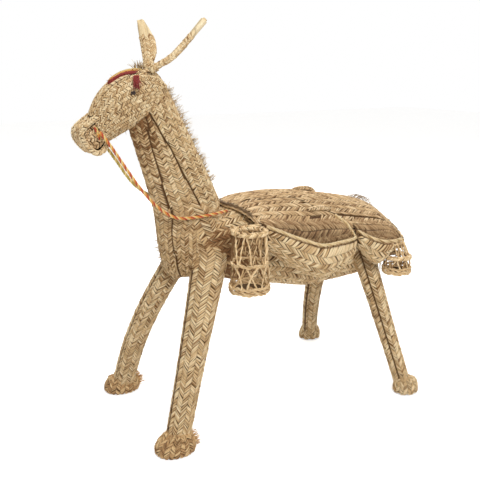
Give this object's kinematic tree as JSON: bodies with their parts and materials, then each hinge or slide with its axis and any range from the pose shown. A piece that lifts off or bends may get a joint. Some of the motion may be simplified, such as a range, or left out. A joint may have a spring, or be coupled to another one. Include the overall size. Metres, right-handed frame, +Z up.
{
  "type": "woven grass donkey",
  "caption": "Free-standing donkey of plaited esparto grass with a cord bridle, tassels and a lift-off woven pannier with pockets and openwork bottle holders.",
  "frame": {"origin": "centre of the footprint on the floor, under the four hooves", "axes": "+Z up; the donkey faces -X; its left side is -Y"},
  "size_m": [0.5704, 0.3244, 0.6216],
  "materials": {
    "grass_plait": "plaited esparto grass, dry and matte",
    "pannier_plait": "plaited esparto grass, sewn strip to strip",
    "pale_cord": "twisted pale esparto cord",
    "loose_fibre": "loose cut esparto fibre",
    "straw_fill": "packed straw, out of sight",
    "stick": "peeled stick, out of sight",
    "bridle_cord": "red and yellow twisted wool cord",
    "red_wool": "dark red wool pile",
    "eye_thread": "dark stitched thread"
  },
  "bodies": {
    "donkey": {"barrel_skin": "grass_plait", "barrel_stuffing": "straw_fill", "spine_stick": "stick", "neck_skin": "grass_plait", "neck_stuffing": "straw_fill", "neck_stick": "stick", "head_skin": "grass_plait", "head_stuffing": "straw_fill", "muzzle": "grass_plait", "eyes": "eye_thread", "mane": "loose_fibre", "forelock": "loose_fibre", "forehead_tassel": "red_wool", "cheek_tassels": "red_wool", "noseband": "bridle_cord", "left_rein": "bridle_cord", "right_rein": "bridle_cord", "front_left_leg": "grass_plait", "front_right_leg": "grass_plait", "rear_left_leg": "grass_plait", "rear_right_leg": "grass_plait", "front_leg_stuffing": "straw_fill", "rear_leg_stuffing": "straw_fill", "leg_sticks": "stick", "front_left_hoof": "grass_plait", "front_right_hoof": "grass_plait", "rear_left_hoof": "grass_plait", "rear_right_hoof": "grass_plait"},
    "left_ear": {"left_ear": "grass_plait"},
    "right_ear": {"right_ear": "grass_plait"},
    "tail": {"tail": "loose_fibre"},
    "pannier": {"saddle_cover": "pannier_plait", "carry_loop": "pale_cord", "front_left_pocket": "pannier_plait", "front_left_rim": "pale_cord", "front_right_pocket": "pannier_plait", "front_right_rim": "pale_cord", "rear_left_pocket": "pannier_plait", "rear_left_rim": "pale_cord", "rear_right_pocket": "pannier_plait", "rear_right_rim": "pale_cord", "front_left_hanger": "pale_cord", "front_right_hanger": "pale_cord", "rear_left_holder": "pale_cord", "rear_left_base": "grass_plait", "rear_right_holder": "pale_cord", "rear_right_base": "grass_plait"},
    "front_left_holder": {"front_left_holder": "pale_cord", "front_left_base": "grass_plait"},
    "front_right_holder": {"front_right_holder": "pale_cord", "front_right_base": "grass_plait"}
  },
  "joints": [
    {"name": "left_ear_bend", "type": "hinge", "parent": "donkey", "child": "left_ear", "pos_m": [-0.172, -0.018, 0.548], "axis": [0, 1, 0], "range_deg": [-18, 18], "stiffness_Nm_per_rad": 0.08},
    {"name": "right_ear_bend", "type": "hinge", "parent": "donkey", "child": "right_ear", "pos_m": [-0.161, 0.02, 0.548], "axis": [0, 1, 0], "range_deg": [-18, 18], "stiffness_Nm_per_rad": 0.08},
    {"name": "tail_swing", "type": "hinge", "parent": "donkey", "child": "tail", "pos_m": [0.265, 0, 0.268], "axis": [1, 0, 0], "range_deg": [-25, 25]},
    {"name": "pannier_lift", "type": "slide", "parent": "donkey", "child": "pannier", "axis": [0, 0, 1], "range_m": [0, 0.12]},
    {"name": "front_left_holder_swing", "type": "hinge", "parent": "pannier", "child": "front_left_holder", "pos_m": [-0.06, -0.076, 0.31737], "axis": [-1, 0, 0], "range_deg": [0, 30]},
    {"name": "front_right_holder_swing", "type": "hinge", "parent": "pannier", "child": "front_right_holder", "pos_m": [-0.06, 0.076, 0.31737], "axis": [1, 0, 0], "range_deg": [0, 30]}
  ]
}
